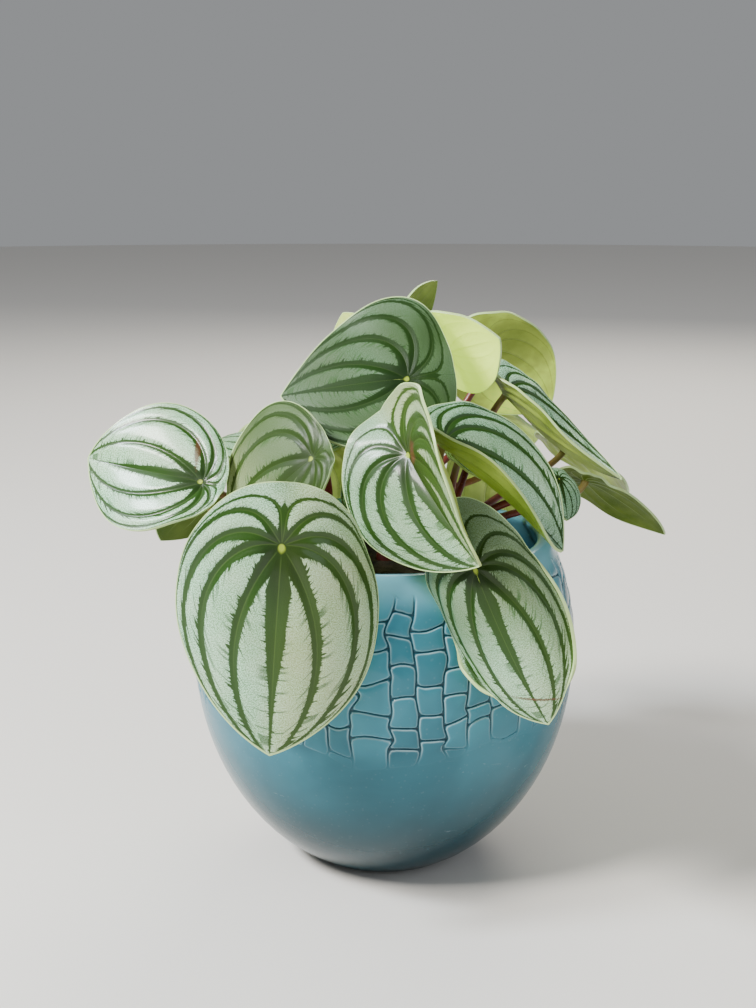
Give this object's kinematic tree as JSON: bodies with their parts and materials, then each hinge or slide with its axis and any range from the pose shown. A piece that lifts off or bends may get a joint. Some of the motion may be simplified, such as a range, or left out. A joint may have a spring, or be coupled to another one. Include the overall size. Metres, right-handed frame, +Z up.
{
  "type": "potted peperomia",
  "caption": "Potted house plant with silver-striped round leaves on red stalks, in a round glazed pot with a raised net below the rim.",
  "frame": {"origin": "centre of the pot's flat foot, on the surface that it stands on", "axes": "+Z up, -Y towards the side that shows the large front leaf, +X to the viewer's right from there"},
  "size_m": [0.2117, 0.1959, 0.2082],
  "materials": {
    "glaze": "semi-gloss teal glaze",
    "soil": "damp potting soil",
    "stalk": "smooth fleshy stalk, dark red",
    "blade": "silver green with dark green stripes, glossy",
    "pale_blade": "yellow-green underside towards the viewer"
  },
  "bodies": {
    "root": {"pot": "glaze", "soil": "soil", "crown_left": "stalk", "crown_right": "stalk", "crown_back": "stalk", "blade_front": "blade", "blade_left": "blade", "blade_inner_left": "blade", "blade_top": "blade", "blade_centre": "blade", "blade_right_mid": "blade", "blade_right_low": "blade", "blade_right_up": "blade", "blade_back_pale": "pale_blade", "blade_back_bright": "pale_blade", "blade_back_tip": "pale_blade", "blade_back_small": "pale_blade", "blade_left_behind": "blade", "blade_left_dark": "blade", "blade_left_olive": "blade", "blade_right_olive": "blade", "blade_right_dark": "blade", "blade_middle_left": "blade", "blade_middle_right": "blade", "blade_young": "blade", "blade_far_left": "blade", "blade_far_low_left": "blade", "blade_far_middle": "blade", "blade_far_low_right": "blade", "blade_far_upper_left": "blade", "blade_far_right": "blade", "blade_far_top": "blade", "blade_far_upper_right": "blade"}
  },
  "joints": []
}
